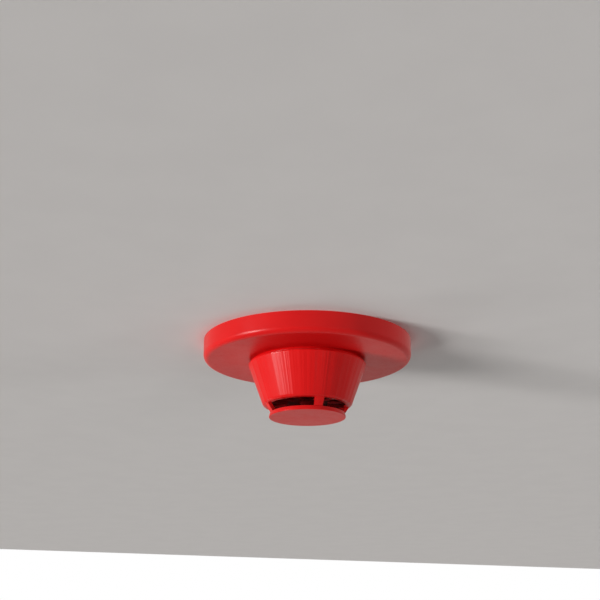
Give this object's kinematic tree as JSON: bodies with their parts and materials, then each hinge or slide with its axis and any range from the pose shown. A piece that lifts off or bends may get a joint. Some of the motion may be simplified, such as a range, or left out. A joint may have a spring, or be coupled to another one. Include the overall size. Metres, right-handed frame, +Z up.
{
  "type": "heat detector",
  "caption": "Ceiling-mounted point heat detector: wide flanged base, tapered twist-lock head with air windows around a flat end cap, thermistor and circuit board inside.",
  "frame": {"origin": "centre of the ceiling face of the base, on the axis of the cable entry", "axes": "+Z up into the ceiling along the detector axis, so the detector hangs below the origin; -Y is the front and the alarm indicator is near +Y"},
  "size_m": [0.15, 0.15, 0.056],
  "materials": {
    "red_shell": "moulded flame-retardant plastic, through-coloured red, fairly glossy",
    "ivory_plastic": "moulded plastic, warm off-white, fine texture",
    "grey_foam": "closed-cell foam",
    "black_rubber": "moulded rubber",
    "black_plastic": "moulded plastic, matt",
    "dark_red_plastic": "moulded plastic, dark red, matt",
    "zinc_steel": "zinc-plated steel",
    "brass_parts": "turned and stamped brass",
    "bronze_spring": "stamped spring bronze",
    "board_laminate": "glass-fibre laminate under green solder resist",
    "chip_black": "moulded epoxy package",
    "chip_tan": "fired ceramic body",
    "can_aluminium": "drawn aluminium can",
    "reed_glass": "thin glass tube",
    "bead_glass": "dark dipped bead on tinned leads",
    "lamp_red": "diffused red epoxy",
    "lens_clear": "clear moulded light guide",
    "switch_body": "moulded switch housing",
    "rotor_orange": "moulded rotor"
  },
  "bodies": {
    "base": {"base_flange": "red_shell", "ceiling_gasket": "grey_foam", "mounting_base": "ivory_plastic", "cable_grommet": "black_rubber", "base_contact_1": "bronze_spring", "base_contact_2": "bronze_spring", "base_contact_3": "bronze_spring", "base_contact_4": "bronze_spring", "terminal_screws": "zinc_steel", "terminal_clamps": "zinc_steel", "contact_rivets": "brass_parts"},
    "seal": {"head_seal": "black_rubber"},
    "head": {"address_switch_tens": "switch_body", "address_switch_units": "switch_body", "alarm_lamp": "lamp_red", "bead_guard": "black_plastic", "board_screws": "zinc_steel", "bridge_rectifier": "chip_black", "ceramic_capacitors": "chip_tan", "chassis_screws": "zinc_steel", "chip_resistors": "chip_black", "circuit_board": "board_laminate", "contact_pad_1": "brass_parts", "contact_pad_2": "brass_parts", "contact_pad_3": "brass_parts", "contact_pad_4": "brass_parts", "end_cap": "red_shell", "head_chassis": "ivory_plastic", "head_cover": "red_shell", "indicator_lens": "lens_clear", "microcontroller": "chip_black", "reed_switch": "reed_glass", "reference_thermistor": "bead_glass", "sensing_thermistor": "bead_glass", "sensor_carrier": "dark_red_plastic", "smoothing_capacitor": "can_aluminium", "surge_suppressor": "chip_black"},
    "tens_rotor": {"address_rotor_tens": "rotor_orange"},
    "units_rotor": {"address_rotor_units": "rotor_orange"}
  },
  "joints": [
    {"name": "head_twist", "type": "hinge", "parent": "base", "child": "seal", "pos_m": [0, 0, 0], "axis": [0, 0, -1], "range_deg": [0, 25]},
    {"name": "head_drop", "type": "slide", "parent": "seal", "child": "head", "axis": [0, 0, -1], "range_m": [0, 0.0025]},
    {"name": "tens_turn", "type": "hinge", "parent": "head", "child": "tens_rotor", "pos_m": [-0.009, 0, -0.018], "axis": [0, 0, 1], "continuous": true},
    {"name": "units_turn", "type": "hinge", "parent": "head", "child": "units_rotor", "pos_m": [0.009, 0, -0.018], "axis": [0, 0, 1], "continuous": true}
  ],
  "couplings": [
    {"joint": "head_drop", "follows": "head_twist", "m_per_rad": 0.005729}
  ]
}
